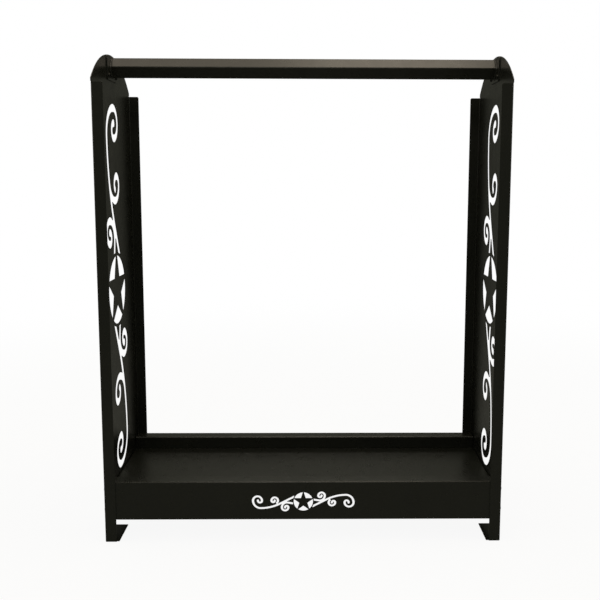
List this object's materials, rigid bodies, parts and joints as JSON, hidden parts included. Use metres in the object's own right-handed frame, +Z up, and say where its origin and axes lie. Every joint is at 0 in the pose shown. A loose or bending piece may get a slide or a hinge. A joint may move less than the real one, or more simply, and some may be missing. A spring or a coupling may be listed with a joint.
{
  "type": "firewood rack",
  "caption": "Free-standing log rack: arched folded-sheet sides pierced with star and scroll, base panels with ledges, sunk log deck and square top rail on edge.",
  "frame": {"origin": "on the floor, in the middle of the rack: the bottom centre of its bounding box", "axes": "+X to the right seen from the front, +Y from the front to the rear, +Z up"},
  "size_m": [1.03, 0.406, 1.2446],
  "materials": {
    "powder_coated_steel": "satin black powder coat on sheet steel",
    "black_zinc_steel": "black zinc plated fasteners"
  },
  "bodies": {
    "root": {"side_panel_left": "powder_coated_steel", "side_panel_right": "powder_coated_steel", "base_panel_front": "powder_coated_steel", "base_panel_rear": "powder_coated_steel", "deck_pan": "powder_coated_steel", "deck_stiffener_left": "powder_coated_steel", "deck_stiffener_right": "powder_coated_steel", "top_rail": "powder_coated_steel", "rail_end_plate_left": "powder_coated_steel", "rail_end_plate_right": "powder_coated_steel", "rail_bolts": "black_zinc_steel", "rail_bolt_washers": "black_zinc_steel", "rail_bolt_nuts": "black_zinc_steel", "base_bolts": "black_zinc_steel", "base_bolt_washers": "black_zinc_steel", "base_bolt_nuts": "black_zinc_steel", "deck_bolts": "black_zinc_steel", "deck_bolt_washers": "black_zinc_steel", "deck_bolt_nuts": "black_zinc_steel", "deck_studs": "black_zinc_steel", "deck_stud_washers": "black_zinc_steel", "deck_stud_nuts": "black_zinc_steel"}
  },
  "joints": []
}
